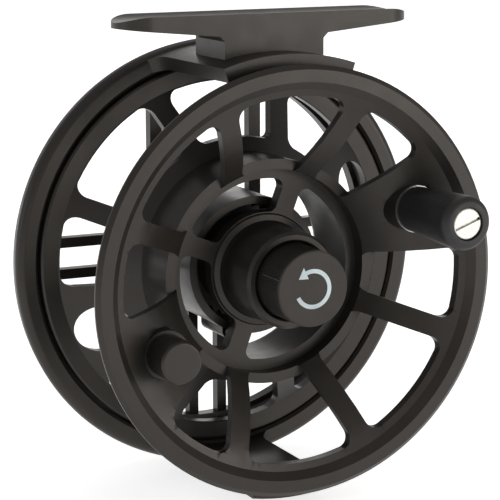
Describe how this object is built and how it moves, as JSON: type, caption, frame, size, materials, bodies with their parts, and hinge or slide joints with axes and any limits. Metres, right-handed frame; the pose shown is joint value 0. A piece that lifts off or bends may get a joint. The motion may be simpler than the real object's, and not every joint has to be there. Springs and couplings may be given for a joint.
{
  "type": "fly reel",
  "caption": "Fly fishing reel with a ported V spool on an open half frame, a rod foot, a palming rim, a single handle with counterweight and a rear drag knob.",
  "frame": {"origin": "middle of the hollow saddle on top of the foot, where the rod's reel seat bears", "axes": "+X along the rod, +Z from the reel to the rod, -Y out of the handle side along the spool's axis"},
  "size_m": [0.0904, 0.073, 0.0969],
  "materials": {
    "black_anodised": "satin black anodised aluminium, finely bead blasted",
    "black_cap": "matt black anodised aluminium with a fine straight knurl",
    "handle_black": "satin black moulded plastic",
    "bright_screw": "turned and polished stainless steel",
    "steel": "ground stainless steel",
    "spring_steel": "drawn spring steel wire and strip",
    "bearing_steel": "polished bearing steel",
    "brass": "machined brass",
    "bronze": "oil-filled sintered bronze",
    "friction": "woven carbon fibre friction material",
    "seal_rubber": "black nitrile rubber",
    "grey_anodised": "grey anodised aluminium"
  },
  "bodies": {
    "reel_frame": {"frame": "black_anodised", "foot": "black_anodised", "foot_screws": "steel", "spindle": "steel", "drag_cover": "grey_anodised", "drag_seal": "seal_rubber", "friction_discs": "friction", "pressure_plate": "steel", "pressure_pins": "bearing_steel", "thrust_ring": "steel", "spring_washers": "spring_steel", "stop_screw": "steel", "detent_spring": "spring_steel", "pawl_pin": "steel", "pawl_spring": "spring_steel", "bearing_inner_ring": "bearing_steel"},
    "detent": {"detent_ball": "bearing_steel"},
    "rotor": {"drag_rotor": "steel", "rotor_bushes": "bronze"},
    "knob": {"drag_knob": "black_anodised", "knob_insert": "brass", "knob_cover": "grey_anodised"},
    "pawl": {"click_pawl": "steel"},
    "spool_body": {"spool": "black_anodised", "bearing_outer_ring": "bearing_steel", "bearing_balls": "bearing_steel", "bearing_clip": "spring_steel", "one_way_clutch": "steel", "clutch_rollers": "bearing_steel", "click_gear": "grey_anodised", "handle_screw": "bright_screw", "handle_washer": "bright_screw", "counterweight": "black_anodised", "counterweight_screw": "steel"},
    "grip": {"handle_grip": "handle_black"},
    "cap": {"spool_cap": "black_cap", "cap_insert": "brass"}
  },
  "joints": [
    {"name": "spool_spin", "type": "hinge", "parent": "reel_frame", "child": "spool_body", "pos_m": [0, 0, -0.0505], "axis": [0, 1, 0], "continuous": true},
    {"name": "handle_spin", "type": "hinge", "parent": "spool_body", "child": "grip", "pos_m": [0.0275, 0, -0.03826], "axis": [0, 1, 0], "continuous": true},
    {"name": "drag_rotor_spin", "type": "hinge", "parent": "reel_frame", "child": "rotor", "pos_m": [0, 0, -0.0505], "axis": [0, 1, 0], "continuous": true},
    {"name": "drag_knob_turn", "type": "hinge", "parent": "reel_frame", "child": "knob", "pos_m": [0, 0, -0.0505], "axis": [0, 1, 0], "range_deg": [0, 330]},
    {"name": "detent_slide", "type": "slide", "parent": "reel_frame", "child": "detent", "axis": [0, -1, 0], "range_m": [0, 0.00025], "stiffness_N_per_m": 200},
    {"name": "click_pawl_rock", "type": "hinge", "parent": "reel_frame", "child": "pawl", "pos_m": [0, 0, -0.0668], "axis": [0, 1, 0], "range_deg": [-8, 8], "stiffness_Nm_per_rad": 0.0002},
    {"name": "cap_turn", "type": "hinge", "parent": "reel_frame", "child": "cap", "pos_m": [0, 0, -0.0505], "axis": [0, -1, 0], "range_deg": [0, 900]}
  ]
}
